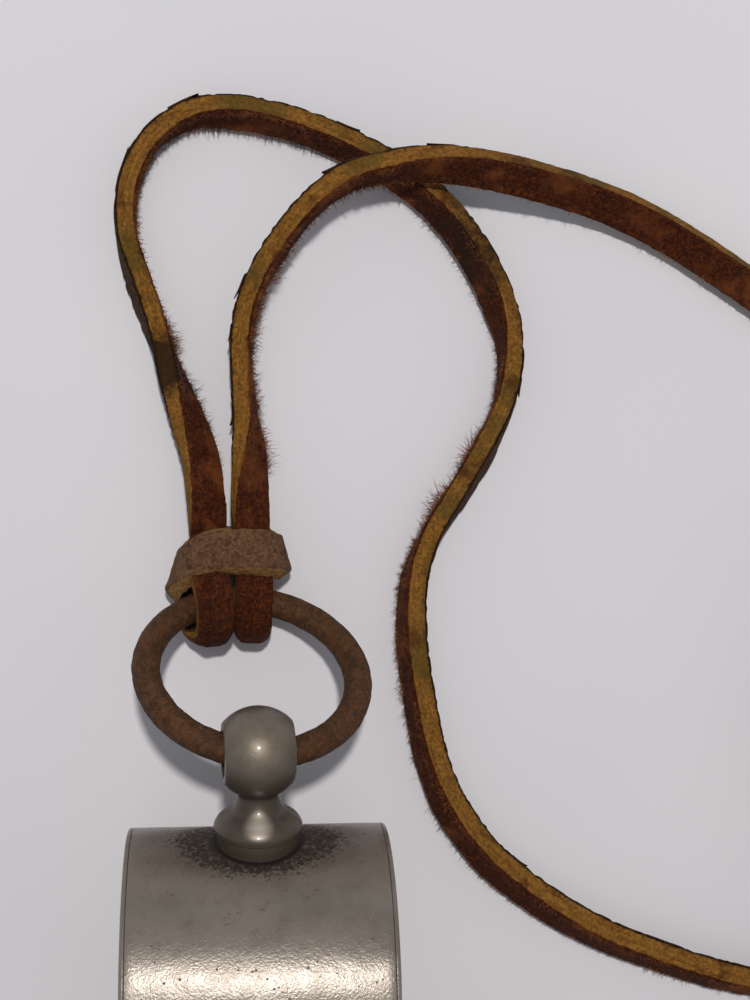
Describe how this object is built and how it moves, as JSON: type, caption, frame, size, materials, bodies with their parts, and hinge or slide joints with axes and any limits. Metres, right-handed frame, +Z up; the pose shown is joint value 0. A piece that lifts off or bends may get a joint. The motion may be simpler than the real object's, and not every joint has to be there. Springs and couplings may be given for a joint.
{
  "type": "training whistle",
  "caption": "Snail-shaped metal pea whistle with a turned loop post and a wire ring, on a narrow leather neck lace with a leather keeper, its slack wound into a coil.",
  "frame": {"origin": "on the surface that the whistle lies on, under the middle of the footprint of whistle and ring", "axes": "+Y from the mouthpiece towards the loop post and the ring, +Z up, +X along the barrel's axis to the right-hand side plate"},
  "size_m": [0.0955, 0.1107, 0.024],
  "materials": {
    "nickel": "worn nickel plate, dull grey with grime in the corners",
    "iron": "dark wire with brown and orange rust",
    "lace": "cracked old leather lace, tan on its cut edges",
    "keeper": "rough mottled grey-brown leather",
    "cork": "natural cork"
  },
  "bodies": {
    "lanyard": {"lace_left_strand": "lace", "lace_right_strand": "lace", "lace_coil": "lace", "lace_left_fold": "lace", "lace_right_fold": "lace"},
    "keeper": {"lace_keeper": "keeper"},
    "ring": {"iron_ring": "iron"},
    "whistle": {"barrel_strip": "nickel", "left_side_plate": "nickel", "right_side_plate": "nickel", "windway_roof": "nickel", "windway_ramp": "nickel", "tip_collar": "nickel", "loop_post": "nickel"},
    "pea": {"cork_pea": "cork"}
  },
  "joints": [
    {"name": "ring_swing", "type": "hinge", "parent": "lanyard", "child": "ring", "pos_m": [-0.00201, 0.03431, 0.00363], "axis": [0.9667, 0.0408, -0.2528], "range_deg": [-60, 0]},
    {"name": "whistle_swing", "type": "hinge", "parent": "ring", "child": "whistle", "pos_m": [0, 0.0246, 0.01577], "axis": [0.9962, 0.0174, -0.0854], "range_deg": [-105, 0]},
    {"name": "pea_roll", "type": "hinge", "parent": "whistle", "child": "pea", "pos_m": [0, 0.00608, 0.012], "axis": [1, 0, 0], "continuous": true},
    {"name": "keeper_slide", "type": "slide", "parent": "lanyard", "child": "keeper", "axis": [0, 1, 0], "range_m": [0, 0.004]}
  ]
}
